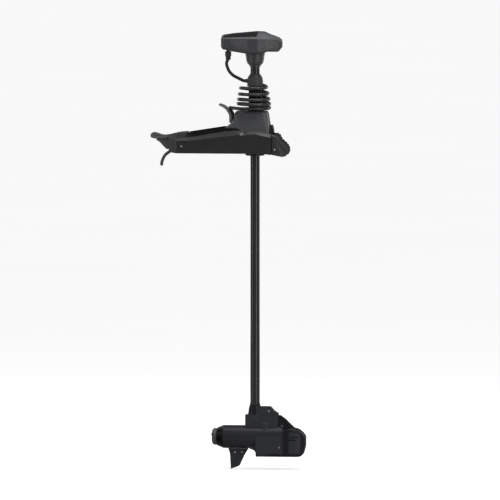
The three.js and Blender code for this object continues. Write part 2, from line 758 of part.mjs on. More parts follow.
function headUpperShell() {
  const shell = headBody(0).subtract(headBody(2 * HEAD_WALL));
  const below = block(-200, 200, -100, 100, 300, HEAD_SPLIT + GAP);
  const [xLow, xHigh, yLow, yHigh] = PANEL_RECT;
  const seat = block(xLow - GAP, xHigh + GAP, yLow - GAP, yHigh + GAP, PANEL_SEAT, 600);
  return shell.subtract(below).subtract(seat.subtract(headBody(HEAD_WALL + 0.4)));
}

function displayPanel() {
  const skin = headBody(0).subtract(headBody(HEAD_WALL));
  return skin.intersect(block(...PANEL_RECT, PANEL_SEAT, 600));
}

const headBoard = () => slab(roundedRect(-100, 20, -50, 50, 8), 448, 450);

const cablePlug = () =>
  turned(
    [[0, 386], [9, 386], [11, 388], [11, 400], [13, 402], [13, 421], [7.5, 421], [7.5, 440],
      [0, 440]],
    18,
    PLUG_X,
  );

function headCable() {
  const path = [
    [-115.5, 0, 382.2], [-118.4, 0, 375.7], [-118.5, 0, 367.3], [-116.6, 0, 359],
    [-113.5, 0, 350.7], [-109.7, 0, 342.4], [-104.1, 0, 334.1], [-96, 0, 325.8],
    [-84.1, 0, 317.5], [-63, 0, 307], [-48, 0, HEAD_CABLE_Z + 0.5], [-40.6, 0, HEAD_CABLE_Z],
  ];
  return cord(path, HEAD_CABLE_R, 30, 7);
}

// ---------- lower unit ----------
const HUB_SCREW = [60, -1073];

const motorBar = (radius, xLow, xHigh, segments = 32) =>
  turnedX([[0, xLow], [radius, xLow], [radius, xHigh], [0, xHigh]], MOTOR_Z, segments);

function lowerHub() {
  const neck = turned(
    [[0, -1041], [21, -1041], [22, -1048], [25.5, -1060], [26.5, -1068], [28, -1080],
      [31, -1088], [31, -1120], [0, -1120]],
    28,
  );
  const body = slab(roundedRect(-40, 98, -28, 28, 12), -1141, -1090);
  const brow = plate(
    [[0, -1100], [6, -1076], [17, -1055.6], [65, -1055.6], [81, -1074], [98, -1084], [98, -1100]],
    -24,
    24,
  );
  const saddle = slab(roundedRect(8, 92, -26, 26, 10), -1155, -1130);
  const hub = neck.add(body).add(brow).add(saddle);
  const cuts = [
    motorBar(MOTOR_R + MOTOR_FIT, -200, 200),
    ring(0, SHAFT_R + GAP, SHAFT_FOOT - 1, -1030),
    ring(0, 8, -1160, -1080, 12),
    crossBar(HUB_SCREW, 6, -30, -20),
  ];
  return cuts.reduce((solid, cut) => solid.subtract(cut), hub);
}

function motorTube() {
  const profile = [
    [MOTOR_BORE, MOTOR_REAR], [MOTOR_R, MOTOR_REAR], [MOTOR_R, MOTOR_FRONT],
    [MOTOR_BORE, MOTOR_FRONT],
  ];
  return turnedX(profile, MOTOR_Z, 36);
}

function rearBell() {
  const rear = MOTOR_REAR - GAP;
  const spigot = MOTOR_BORE - MOTOR_FIT;
  const profile = [
    [7, -158], [36, -158], [38, -155], [42.5, -143.5], [MOTOR_R, rear], [spigot, rear],
    [spigot, rear + 8], [12.6, rear + 8], [12.6, -152], [7, -152],
  ];
  return turnedX(profile, MOTOR_Z, 24);
}

function bearing(outer, xLow, xHigh) {
  const inner = DRIVE_R + GAP;
  return turnedX([[inner, xLow], [outer, xLow], [outer, xHigh], [inner, xHigh]], MOTOR_Z, 14);
}

function stator() {
  const outer = MOTOR_BORE - MOTOR_FIT;
  return turnedX([[27, -60], [outer, -60], [outer, 60], [27, 60]], MOTOR_Z, 20);
}

// Nose: lines of [x, value] along its length.
const NOSE_REAR = 7;
const NOSE_TIP = 212;
const NOSE_STATIONS = [NOSE_REAR, MOTOR_FRONT, 152, 176, 186, 190, 196, 204, 206, NOSE_TIP];
const NOSE_TOP = [
  [NOSE_REAR, -1150], [MOTOR_FRONT, -1148], [152, -1141], [184, -1150.5], [204, -1165],
  [NOSE_TIP, -1177],
];
const NOSE_KEEL = [[NOSE_REAR, -1262], [186, -1262], [196, -1259], [206, -1246], [NOSE_TIP, -1216]];
const NOSE_HALF = [[NOSE_REAR, 51], [152, 51], [176, 49], [190, 44], [204, 36], [NOSE_TIP, 24]];

function noseHousing() {
  const sections = NOSE_STATIONS.map((x) => {
    const half = onLine(NOSE_HALF, x);
    const ring = roundedRect(-half, half, onLine(NOSE_KEEL, x), onLine(NOSE_TOP, x), 16, 4);
    return { at: x, ring };
  });
  const arch = plate(
    [[8, -1262], [4, -1242], [-4, -1234], [-19, -1230], [-19, -1215], [8, -1215]],
    -34,
    34,
  );
  const plug = motorBar(MOTOR_BORE - MOTOR_FIT, 97, MOTOR_FRONT + 1);
  const cuts = [
    block(-30, MOTOR_FRONT + GAP, -60, 60, -1172, -1100),
    block(24.7, 170.3, -38.3, 38.3, -1270, -1240),
    motorBar(BEARING_SEAT_R + GAP, 90, 108, 20),
  ];
  for (const side of [-1, 1]) {
    cuts.push(plate(roundedRect(149, 196, -1182, -1176, 3), side * 43, side * 60));
    cuts.push(plate(roundedRect(147, 176, -1193, -1188, 2.4), side * 43, side * 60));
  }
  let nose = loft(sections, alongX).add(arch);
  nose = nose.subtract(motorBar(MOTOR_R + MOTOR_FIT, -60, MOTOR_FRONT + GAP, 36)).add(plug);
  for (const cut of cuts) nose = nose.subtract(cut);
  return nose;
}

const transducer = () => block(25, 170, -38, 38, -1261.6, -1243);

function cableGuard() {
  const outline = [
    [99.5, -1091], [108, -1091.5], [128, -1106], [149, -1127], [163, -1139.5], [150, -1141],
    [140, -1142], [118, -1145.5], [115.5, -1133.3], [99.5, -1133.3],
  ];
  const recess = [
    [104, -1101], [112, -1101], [133, -1122], [139, -1136], [119, -1139], [104, -1129],
  ];
  return plate(outline, -9, 9).subtract(plate(recess, 4, 12)).subtract(plate(recess, -12, -4));
}

const SKEG = [
  [-112, -1230.7], [-104.5, -1251, 14], [-101, -1316.5, 3], [-64, -1303, 8], [-45.5, -1261, 4],
  [-27, -1230.7],
];

function skeg() {
  const holes = [[-83, -1247, 3.4], [-54.5, -1246, 3.4]];
  return plate(rounded(SKEG), -4, 4, holes);
}

// ---------- propeller side ----------
const rotor = () =>
  turnedX([[DRIVE_R + GAP, -62], [26, -62], [26, 62], [DRIVE_R + GAP, 62]], MOTOR_Z, 24);

const driveShaft = () => motorBar(DRIVE_R, -177.5, 107, 14);

// Blade stations: radius, chord, pitch angle from the disc's plane in degrees, thickness, rake.
const BLADE = [
  [14, 30, 32, 8, 0], [50, 44, 25, 6.5, 0.5], [80, 50, 20, 5.5, 2], [110, 46, 16, 4.5, 4.5],
  [130, 38, 14, 3.5, 6.5], [142, 24, 13, 2.5, 7.8], [PROP_R, 12, 13, 2, 8],
];

function blade() {
  const sections = BLADE.map(([radius, chord, pitch, thick, rake]) => {
    const turn = THREE.MathUtils.degToRad(pitch);
    const lens = [[-0.5, 0], [-0.2, -0.5], [0.2, -0.45], [0.5, 0], [0.2, 0.45], [-0.2, 0.5]];
    const points = lens.map(([u, v]) => {
      const along = u * chord;
      const across = v * thick;
      return [
        along * Math.sin(turn) + across * Math.cos(turn) + rake,
        along * Math.cos(turn) - across * Math.sin(turn),
      ];
    });
    return { at: radius, ring: points };
  });
  return loft(sections, alongY);
}

function propeller() {
  const hub = turnedX(
    [[0, -158.6], [PROP_HUB_R, -158.6], [PROP_HUB_R, -170], [31, -176], [24, -179], [0, -179]],
    0,
    28,
  );
  const one = blade().translate([PROP_X, 0, 0]);
  const other = blade().rotate([180, 0, 0]).translate([PROP_X, 0, 0]);
  const bore = turnedX(
    [[0, -200], [11, -200], [11, -172], [DRIVE_R + GAP, -172], [DRIVE_R + GAP, -150], [0, -150]],
    0,
    14,
  );
  return hub.add(one).add(other).subtract(bore).translate([0, 0, MOTOR_Z]);
}

function propNut() {
  const bore = motorBar(DRIVE_R + GAP, -195, -170, 14);
  return motorBar(9, -178.4, -172.3, 6).subtract(bore);
}

function shaftGroup() {
  const group = new THREE.Group();
  group.add(
    piece("shaft_tube", shaftTube(), "shaft"),
    piece("shaft_wires", shaftWires(), "copper"),
    piece("collar_aft", cordCollar(-1), "casing"),
    piece("collar_fore", cordCollar(1), "casing"),
    piece("coil_cord_upper", coilCord(false), "rubber"),
    piece("head_stem", headStem(), "casing"),
    piece("head_lower_shell", headLowerShell(), "casing"),
    piece("head_upper_shell", headUpperShell(), "casing"),
    piece("display_panel", displayPanel(), "gloss"),
    piece("head_board", headBoard(), "board"),
    piece("cable_plug", cablePlug(), "rubber"),
    piece("head_cable", headCable(), "rubber"),
    piece("lower_hub", lowerHub(), "drive"),
    piece("motor_tube", motorTube(), "drive"),
    piece("rear_bell", rearBell(), "gloss"),
    piece("rear_bearing", bearing(12.2, -151, -142), "steel"),
    piece("front_bearing", bearing(BEARING_SEAT_R, 98, 107), "steel"),
    piece("stator", stator(), "copper"),
    piece("nose_housing", noseHousing(), "drive"),
    piece("transducer", transducer(), "rubber"),
    piece("cable_guard", cableGuard(), "drive"),
    piece("skeg", skeg(), "drive"),
  );
  return group;
}

function propGroup() {
  const group = new THREE.Group();
  group.add(
    piece("rotor", rotor(), "steel"),
    piece("drive_shaft", driveShaft(), "steel"),
    piece("propeller", propeller(), "gloss"),
    piece("prop_nut", propNut(), "steel"),
  );
  return group;
}

// ---------- assembly ----------
const trollingMotor = new THREE.Group();
trollingMotor.position.x = SHAFT_X;
trollingMotor.add(
  baseGroup(),
  piece("release_pedal", releasePedal(), "casing"),
  piece("latch_rod", latchRod(), "steel"),
  piece("tilt_latch", tiltLatch(), "steel"),
  towerGroup(),
  piece("depth_lever", depthLever(), "casing"),
  piece("steering_pinion", steeringPinion(), "steel"),
  piece("steering_sleeve", steeringSleeve(), "shaft"),
  piece("steering_gear", steeringGear(), "steel"),
  shaftGroup(),
  propGroup(),
);

export default trollingMotor;
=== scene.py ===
import math

import bmesh
import bpy
import numpy as np
from mathutils import Matrix, Vector


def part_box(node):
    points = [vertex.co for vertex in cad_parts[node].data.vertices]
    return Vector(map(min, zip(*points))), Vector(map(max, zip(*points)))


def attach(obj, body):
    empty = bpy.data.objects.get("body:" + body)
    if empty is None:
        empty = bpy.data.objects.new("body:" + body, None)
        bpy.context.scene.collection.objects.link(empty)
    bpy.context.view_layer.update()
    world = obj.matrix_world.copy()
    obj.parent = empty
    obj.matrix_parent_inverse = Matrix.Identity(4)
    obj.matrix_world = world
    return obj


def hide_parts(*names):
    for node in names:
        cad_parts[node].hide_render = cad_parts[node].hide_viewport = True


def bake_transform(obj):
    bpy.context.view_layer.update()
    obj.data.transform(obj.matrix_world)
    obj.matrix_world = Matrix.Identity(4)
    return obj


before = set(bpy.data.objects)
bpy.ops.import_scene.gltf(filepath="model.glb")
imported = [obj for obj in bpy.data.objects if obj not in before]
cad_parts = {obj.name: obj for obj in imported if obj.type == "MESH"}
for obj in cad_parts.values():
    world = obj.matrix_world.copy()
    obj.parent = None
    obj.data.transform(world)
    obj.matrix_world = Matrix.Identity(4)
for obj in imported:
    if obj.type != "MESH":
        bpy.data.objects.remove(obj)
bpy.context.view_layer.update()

# Lengths below are in millimetres from the shaft's axis, with z 0 on the deck.
MM = 0.001
tube_low, tube_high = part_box("shaft_tube")
SHAFT_X = (tube_low.x + tube_high.x) / 2
SHAFT_R = 19.5
SHAFT_FOOT, SHAFT_TOP = -1088, 402
SLEEVE_R = 27
SLEEVE_FOOT, SLEEVE_TOP = -6, 277
PIVOT = (-120, 0, 88)  # the tilt hinge
PEDAL_PIVOT = (-343, 0, 34)
LEVER_PIVOT = (-101, 0, 132)
CORD_HOLE = (-90, 0, 0)  # where the coil cord enters the tower
PLUG = (-112, 0, 0)  # the plug under the head
HEAD_CABLE_R = 6.6
COVER_OUT = 75
MOTOR_Z = -1182
MOTOR_R = 48
MOTOR_BORE = 44
MOTOR_REAR, MOTOR_FRONT = -131.7, 114
MOTOR_FIT = 0.4  # gap round the motor tube, inside and out
DRIVE_R = 5
HUB_SCREW = (60, -1073)
SKEG_SCREWS = ((-83, -1247), (-54.5, -1246))


# ---------------------------------------------------------------- numbers
def soft(table, width):
    """A line through [at, value] points with its corners rounded over +-width."""
    at, value = np.array(table, float).T
    window = np.linspace(-width, width, 11)
    return lambda q: float(np.mean(np.interp(q + window, at, value)))


def rounded(points, trim=0.0, steps=4):
    """An outline with its corners rounded; a point (u, v, trim) has its own trim."""
    out = []
    for i, point in enumerate(points):
        corner = np.array(point[:2], float)
        cut = point[2] if len(point) > 2 else trim
        if not cut:
            out.append(tuple(corner))
            continue
        ends = []
        for other in (points[i - 1], points[(i + 1) % len(points)]):
            way = np.array(other[:2], float) - corner
            length = np.linalg.norm(way)
            ends.append(corner + way / length * min(cut, length * 0.49))
        for t in np.linspace(0, 1, steps + 1):
            p = (1 - t) ** 2 * ends[0] + 2 * t * (1 - t) * corner + t * t * ends[1]
            out.append(tuple(p))
    return out


def rounded_rect(u0, u1, v0, v1, trim, steps=6):
    return rounded([(u0, v0), (u1, v0), (u1, v1), (u0, v1)], trim, steps)


def curve_through(points, count):
    """Evenly spaced points on a Catmull-Rom curve through points."""
    p = np.array(points, float)
    p = np.vstack([2 * p[0] - p[1], p, 2 * p[-1] - p[-2]])
    fine = []
    for i in range(1, len(p) - 2):
        for t in np.linspace(0, 1, 40, endpoint=False):
            a, b, c, d = p[i - 1 : i + 3]
            fine.append(
                0.5 * (2 * b + (c - a) * t + (2 * a - 5 * b + 4 * c - d) * t * t
                       + (3 * b - a - 3 * c + d) * t ** 3)
            )
    fine.append(p[-2])
    fine = np.array(fine)
    run = np.concatenate([[0], np.cumsum(np.linalg.norm(np.diff(fine, axis=0), axis=1))])
    want = np.linspace(0, run[-1], count)
    return np.stack([np.interp(want, run, fine[:, k]) for k in range(fine.shape[1])], 1)


# ---------------------------------------------------------------- meshes
def make(name, points, faces):
    """A mesh object from points in mm from the shaft axis, with its faces turned outwards."""
    mesh = bpy.data.meshes.new(name)
    moved = [(SHAFT_X + x * MM, y * MM, z * MM) for x, y, z in points]
    mesh.from_pydata(moved, [], [list(map(int, f)) for f in faces])
    bm = bmesh.new()
    bm.from_mesh(mesh)
    bmesh.ops.remove_doubles(bm, verts=bm.verts, dist=1e-6)
    bmesh.ops.recalc_face_normals(bm, faces=bm.faces)
    bm.to_mesh(mesh)
    bm.free()
    obj = bpy.data.objects.new(name, mesh)
    bpy.context.scene.collection.objects.link(obj)
    return obj


def skin(name, rings, caps=True, loop=False):
    """A surface through equal rings of 3-D points, capped at both ends or closed in a loop."""
    count = len(rings[0])
    points = [p for r in rings for p in r]
    faces = []
    spans = len(rings) if loop else len(rings) - 1
    for s in range(spans):
        low, high = s * count, ((s + 1) % len(rings)) * count
        for i in range(count):
            j = (i + 1) % count
            faces.append((low + i, low + j, high + j, high + i))
    if caps and not loop:
        faces.append(tuple(range(count))[::-1])
        faces.append(tuple(range(len(points) - count, len(points))))
    return make(name, points, faces)


def lathe(name, profile, axis="Z", at=(0, 0, 0), segments=64):
    """A closed (radius, height) profile turned about an axis through at."""
    rings = []
    for k in range(segments):
        a = 2 * math.pi * k / segments
        ring = []
        for r, h in profile:
            r = max(r, 0.001)
            u, v = r * math.cos(a), r * math.sin(a)
            p = {"Z": (u, v, h), "X": (h, u, v), "Y": (u, h, v)}[axis]
            ring.append(tuple(p[i] + at[i] for i in range(3)))
        rings.append(ring)
    return skin(name, rings, loop=True)


def drill(name, radius, h0, h1, axis="Z", at=(0, 0, 0), segments=64):
    """A plain round bar between two heights along an axis, mostly for cutting a hole."""
    return lathe(name, [(0, h0), (radius, h0), (radius, h1), (0, h1)], axis, at, segments)


def prism(name, outline, y0, y1):
    """An (x, z) outline given thickness along y."""
    return skin(name, [[(x, y, z) for x, z in outline] for y in (y0, y1)])


def prism_z(name, outline, z0, z1):
    """An (x, y) outline given thickness along z."""
    return skin(name, [[(x, y, z) for x, y in outline] for z in (z0, z1)])


def box(name, x0, x1, y0, y1, z0, z1):
    return prism(name, [(x0, z0), (x1, z0), (x1, z1), (x0, z1)], y0, y1)


def swept(name, path, radius, sides=16):
    """A round cord along a path; radius is a number or one value per point."""
    path = np.array(path, float)
    tangents = np.gradient(path, axis=0)
    tangents /= np.linalg.norm(tangents, axis=1)[:, None]
    radii = np.broadcast_to(radius, len(path))
    side = np.cross(tangents[0], (0.0, 0.0, 1.0))
    if np.linalg.norm(side) < 1e-3:
        side = np.array((0.0, 1.0, 0.0))
    rings = []
    for p, t, r in zip(path, tangents, radii):
        side = side - t * (side @ t)
        side /= np.linalg.norm(side)
        up = np.cross(t, side)
        angles = np.linspace(0, 2 * math.pi, sides, endpoint=False)
        rings.append([tuple(p + r * (math.cos(a) * side + math.sin(a) * up)) for a in angles])
    return skin(name, rings)


def settle(obj):
    """Applies an object's modifiers to its mesh."""
    graph = bpy.context.evaluated_depsgraph_get()
    mesh = bpy.data.meshes.new_from_object(obj.evaluated_get(graph))
    obj.modifiers.clear()
    obj.data = mesh
    return obj


def cut(obj, *others, how="DIFFERENCE"):
    """Joins to, or cuts from, an object the shapes of others, which are used up."""
    for other in others:
        mod = obj.modifiers.new("cut", "BOOLEAN")
        mod.operation = how
        mod.solver = "EXACT"
        mod.object = other
        settle(obj)
        bpy.data.objects.remove(other)
    return obj


def fuse(obj, *others):
    return cut(obj, *others, how="UNION")


def copy_of(node, name):
    """A new object with the shape of a CAD node, its flat faces whole again."""
    bm = bmesh.new()
    bm.from_mesh(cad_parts[node].data)
    bmesh.ops.remove_doubles(bm, verts=bm.verts, dist=2e-6)
    bmesh.ops.dissolve_limit(bm, angle_limit=math.radians(1), verts=bm.verts, edges=bm.edges)
    mesh = bpy.data.meshes.new(name)
    bm.to_mesh(mesh)
    bm.free()
    obj = bpy.data.objects.new(name, mesh)
    bpy.context.scene.collection.objects.link(obj)
    return obj


def edges(obj, width, segments=3, angle=28, smooth=40):
    """Rounds an object's sharp edges by a width in mm, then shades it smooth."""
    if width:
        mod = obj.modifiers.new("edge", "BEVEL")
        mod.width = width * MM
        mod.segments = segments
        mod.limit_method = "ANGLE"
        mod.angle_limit = math.radians(angle)
        mod.use_clamp_overlap = True
        settle(obj)
    obj.data.polygons.foreach_set("use_smooth", [True] * len(obj.data.polygons))
    obj.data.set_sharp_from_angle(angle=math.radians(smooth))
    mod = obj.modifiers.new("normals", "WEIGHTED_NORMAL")
    mod.keep_sharp = True
    return obj


# ---------------------------------------------------------------- materials
def tree_of(name):
    material = bpy.data.materials.new(name)
    material.use_nodes = True
    tree = material.node_tree
    tree.nodes.clear()
    shader = tree.nodes.new("ShaderNodeBsdfPrincipled")
    out = tree.nodes.new("ShaderNodeOutputMaterial")
    tree.links.new(shader.outputs[0], out.inputs[0])
    return material, tree, shader


def noise(tree, scale, detail=3.0, stretch=(1, 1, 1), rough=0.55):
    """Noise over the object's own space; scale is in features per metre."""
    place = tree.nodes.new("ShaderNodeTexCoord")
    mapping = tree.nodes.new("ShaderNodeMapping")
    mapping.inputs["Scale"].default_value = stretch
    made = tree.nodes.new("ShaderNodeTexNoise")
    made.inputs["Scale"].default_value = scale
    made.inputs["Detail"].default_value = detail
    made.inputs["Roughness"].default_value = rough
    tree.links.new(place.outputs["Object"], mapping.inputs[0])
    tree.links.new(mapping.outputs[0], made.inputs["Vector"])
    return made.outputs["Fac"]


def spread(tree, value, low, high, start=0.35, end=0.65):
    """Maps a 0 to 1 value onto low to high."""
    made = tree.nodes.new("ShaderNodeMapRange")
    for name, v in (("From Min", start), ("From Max", end), ("To Min", low), ("To Max", high)):
        made.inputs[name].default_value = v
    tree.links.new(value, made.inputs["Value"])
    return made.outputs[0]


def mixed(tree, share, a, b):
    """Mixes two colours (or a socket and a colour) by a share."""
    made = tree.nodes.new("ShaderNodeMix")
    made.data_type = "RGBA"
    tree.links.new(share, made.inputs["Factor"])
    for socket, colour in ((made.inputs[6], a), (made.inputs[7], b)):
        if isinstance(colour, tuple):
            socket.default_value = (*colour, 1)
        else:
            tree.links.new(colour, socket)
    return made.outputs[2]


def painted_highlight_share(tree, start, end):
    """How much a point sits on an outer edge, where the colour is painted paler as a highlight."""
    geometry = tree.nodes.new("ShaderNodeNewGeometry")
    return spread(tree, geometry.outputs["Pointiness"], 0, 1, start, end)


def bump(tree, shader, heights):
    """Chains (height socket, depth in mm) pairs into the shader's normal."""
    last = None
    for height, depth in heights:
        made = tree.nodes.new("ShaderNodeBump")
        made.inputs["Strength"].default_value = 1
        made.inputs["Distance"].default_value = depth * MM
        tree.links.new(height, made.inputs["Height"])
        if last:
            tree.links.new(last, made.inputs["Normal"])
        last = made.outputs[0]
    tree.links.new(last, shader.inputs["Normal"])


def surface(name, colour, edge_highlight_colour, rough, grain, depth, metal=0.0, coat=0.0, stretch=(1, 1, 1),
            edge=(0.52, 0.62), specular=0.5, mottle=0.35):
    """A moulded, painted or machined surface: drifting tone, grain, outer edges painted paler as a
    highlight.
    """
    material, tree, shader = tree_of(name)
    drift = spread(tree, noise(tree, 9), 0, 1)
    darker = tuple(c * 0.78 for c in colour)
    tone = mixed(tree, drift, darker, colour)
    mottled = spread(tree, noise(tree, 160, 4), 0, mottle)
    tone = mixed(tree, mottled, tone, tuple(c * 1.5 for c in colour))
    # outer edges get the paler colour as a painted highlight
    tone = mixed(tree, painted_highlight_share(tree, *edge), tone, edge_highlight_colour)
    tree.links.new(tone, shader.inputs["Base Color"])
    roughness = spread(tree, noise(tree, 45, 5, stretch), rough - 0.06, rough + 0.07)
    tree.links.new(roughness, shader.inputs["Roughness"])
    shader.inputs["Metallic"].default_value = metal
    shader.inputs["Coat Weight"].default_value = coat
    shader.inputs["Coat Roughness"].default_value = 0.12
    shader.inputs["Specular IOR Level"].default_value = specular
    fine = noise(tree, grain, 2, stretch)
    broad = noise(tree, grain / 12, 2, stretch)
    bump(tree, shader, [(broad, depth * 1.6), (fine, depth)])
    return material


# Each finish: colour, paler colour painted on outer edges as a highlight, roughness, grain per metre, bump
# depth in mm.
MATERIALS = {
    "casing": surface("casing_plastic", (0.026, 0.0268, 0.029), (0.06, 0.06, 0.062), 0.46, 1500, 0.05),
    "tower": surface("tower_plastic", (0.092, 0.094, 0.1), (0.12, 0.12, 0.125), 0.3, 1500, 0.03),
    "head": surface("head_plastic", (0.07, 0.072, 0.077), (0.12, 0.12, 0.125), 0.42, 1500, 0.05),
    "stem": surface("stem_plastic", (0.085, 0.086, 0.09), (0.13, 0.13, 0.135), 0.34, 1500, 0.02),
    "lever": surface("lever_plastic", (0.19, 0.19, 0.195), (0.24, 0.24, 0.245), 0.4, 1500, 0.03),
    "collar": surface("collar_plastic", (0.055, 0.055, 0.057), (0.08, 0.08, 0.082), 0.5, 1500, 0.03),
    "end_casing": surface("end_plastic", (0.07, 0.071, 0.073), (0.14, 0.14, 0.14), 0.4, 1500, 0.05),
    "rubber": surface("black_rubber", (0.016, 0.016, 0.017), (0.05, 0.05, 0.051), 0.34, 900, 0.03),
    "cord": surface("cord_jacket", (0.034, 0.034, 0.035), (0.09, 0.09, 0.09), 0.3, 900, 0.02),
    "cable": surface("cable_jacket", (0.075, 0.075, 0.077), (0.1, 0.1, 0.1), 0.4, 900, 0.02),
    "pad_rubber": surface("pad_rubber", (0.04, 0.04, 0.041), (0.09, 0.09, 0.09), 0.62, 700, 0.08),
    # near-black channel colour: painted shade of the channel's shadowed interior
    "channel": surface("channel_painted_shade", (0.005, 0.005, 0.0055), (0.03, 0.03, 0.03), 0.6, 1100, 0.05,
                       specular=0.25, mottle=0.1),
    "hub": surface("hub_composite", (0.13, 0.13, 0.133), (0.13, 0.13, 0.13), 0.4, 500, 0.01, mottle=0.1),
    "arm": surface("arm_plastic", (0.04, 0.041, 0.044), (0.09, 0.09, 0.09), 0.42, 1500, 0.05),
    # near-black bell colour: painted shade of the dark gap before the propeller
    "bell": surface("bell_painted_shade", (0.006, 0.006, 0.007), (0.02, 0.02, 0.02), 0.42, 500, 0.01,
                    specular=0.3, mottle=0.1),
    "cast_frame": surface("cast_aluminium", (0.028, 0.029, 0.031), (0.16, 0.16, 0.16), 0.5, 1100, 0.06,
                          metal=0.3),
    "steel": surface("brushed_steel", (0.55, 0.56, 0.58), (0.75, 0.75, 0.76), 0.28, 900, 0.01, metal=1.0),
    "shaft_black": surface("shaft_composite", (0.028, 0.028, 0.03), (0.04, 0.04, 0.041), 0.22, 300, 0.001,
                           coat=0.3, stretch=(1, 1, 0.02), mottle=0.01),
    # near-black sleeve colour: painted shade where the coil cord shadows the sleeve
    "sleeve": surface("sleeve_painted_shade", (0.005, 0.005, 0.0055), (0.012, 0.012, 0.012), 0.5, 400, 0.004,
                      specular=0.25, mottle=0.1),
    "gloss_panel": surface("gloss_black", (0.010, 0.0105, 0.012), (0.04, 0.04, 0.042), 0.2, 300, 0.004,
                           coat=0.6),
    "drive_paint": surface("drive_paint", (0.0125, 0.0135, 0.0165), (0.04, 0.042, 0.048), 0.44, 420, 0.012,
                           coat=0.06, specular=0.35, mottle=0.2),
    "tube": surface("tube_paint", (0.021, 0.0222, 0.0262), (0.045, 0.047, 0.052), 0.42, 420, 0.01,
                    coat=0.06, specular=0.35, mottle=0.2),
    "winding": surface("copper_winding", (0.5, 0.22, 0.1), (0.7, 0.4, 0.2), 0.35, 900, 0.05, metal=0.9),
    "circuit_board": surface("board_lacquer", (0.02, 0.12, 0.06), (0.05, 0.2, 0.1), 0.4, 500, 0.02),
    "bronze": surface("sintered_bronze", (0.5, 0.36, 0.16), (0.65, 0.5, 0.28), 0.4, 1200, 0.02, metal=0.9),
}


def dress(obj, finish):
    obj.data.materials.clear()
    obj.data.materials.append(MATERIALS[finish])
    return obj


def fit(obj, body, finish, *nodes):
    """Gives a new piece its finish and body, and lets it stand for CAD nodes."""
    dress(obj, finish)
    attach(obj, body)
    if nodes:
        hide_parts(*nodes)
    return obj


def recut(node, body, finish, width, segments=3, angle=28):
    """A CAD node's shape again, with whole faces and rounded edges."""
    obj = edges(copy_of(node, node + "_moulded"), width, segments, angle)
    return fit(obj, body, finish, node)


# ---------------------------------------------------------------- mounting base
def base_pieces():
    # the channel's near-black finish is painted shade
    recut("base_channel", "base", "channel", 0.8, 2)
    recut("rear_end_cap", "base", "end_casing", 2.6, 4, 20)
    for side in ("right", "left"):
        recut("side_cover_" + side, "base", "casing", 2.4, 4, 20)
        recut("bow_arm_" + side, "base", "arm", 3.0, 4, 20)
        recut("bow_pad_" + side, "base", "pad_rubber", 0.7, 2, 50)
    recut("tilt_pin", "base", "steel", 0.6, 2)
    recut("cable_gland", "base", "rubber", 0.5, 2)
    recut("pedal_pin", "base", "steel", 0.5, 2)


POWER_CABLE = [
    (-128, -32, 14.5), (-240, -32, 14.5), (-325, -32, 14.5), (-338, -32, 13.5), (-348, -32, 9.5),
    (-357, -32, 3), (-364, -32, -2.5), (-369.5, -32, -6.8), (-375.8, -32, -15.2), (-379.7, -32, -23.4),
    (-383.3, -32, -31.8), (-385.5, -32, -40.1), (-386.5, -32, -52),
]


def power_cable():
    path = curve_through(POWER_CABLE, 120)
    fit(edges(swept("power_cable_sheath", path, 6.5, 20), 0.6, 2), "base", "cable", "power_cable")
    end = path[-1]
    along = path[-1] - path[-2]
    along /= np.linalg.norm(along)
    for k, y in enumerate((-2.4, 2.4)):
        start = end + np.array((0, y, 0))
        line = [start - along * 3, start + along, start + along * 2.2]
        core = swept(f"power_cable_core_{k + 1}", line, 1.7, 12)
        fit(edges(core, 0.3, 2), "base", "winding")


def pedal_spring():
    turns, radius, start, length = 3, 6, 13.4, 4.2
    x, _, z = PEDAL_PIVOT
    points = []
    for t in np.linspace(0, turns, turns * 24 + 1):
        a = 2 * math.pi * t
        points.append((x + radius * math.cos(a), start + length * t / turns, z + radius * math.sin(a)))
    fit(edges(swept("pedal_spring_coil", points, 0.8, 10), 0), "base", "steel", "pedal_spring")


base_pieces()
power_cable()
pedal_spring()


# ---------------------------------------------------------------- pedal and latch
def release_pedal():
    outline = rounded([
        (-434, 68, 3), (-431, 81, 3), (-422, 82.5, 3), (-414, 81.5, 3), (-406, 79, 4), (-390, 73.5, 5),
        (-378, 72, 5), (-364, 73.5, 4), (-356, 75, 2), (-356, 64, 2), (-378, 62, 5), (-395, 62, 5),
        (-412, 58, 5), (-428, 62, 3),
    ])
    tread = prism("release_pedal_moulded", outline, -30, 30)
    web = prism("web", [(-410, 66), (-410, 52), (-401, 46.3), (-392, 39.2), (-385, 30.5),
                        (-376, 21.8), (-369, 14.5), (-349, 13), (-338.5, 14), (-334, 30),
                        (-336, 42), (-344, 50), (-353, 66)], -12, 12)
    bore = drill("bore", 4.7, -20, 20, "Y", PEDAL_PIVOT, 24)
    tread = cut(fuse(tread, web), bore)
    top = soft([(-431, 81), (-422, 82.5), (-414, 81.5), (-406, 79), (-390, 73.5), (-378, 72),
                (-364, 73.5), (-356, 75)], 2)
    grooves, pitch, width, depth = 8, 8, 1.8, 1.4
    for k in range(grooves):
        x = -427 + k * pitch
        cut(tread, box("groove", x, x + width, -25, 25, top(x) - depth, 90))
    fit(edges(tread, 1.1, 3, 30), "pedal", "end_casing", "release_pedal")


release_pedal()
recut("latch_rod", "rod", "steel", 0.5, 2)
recut("tilt_latch", "latch", "steel", 0.8, 2)


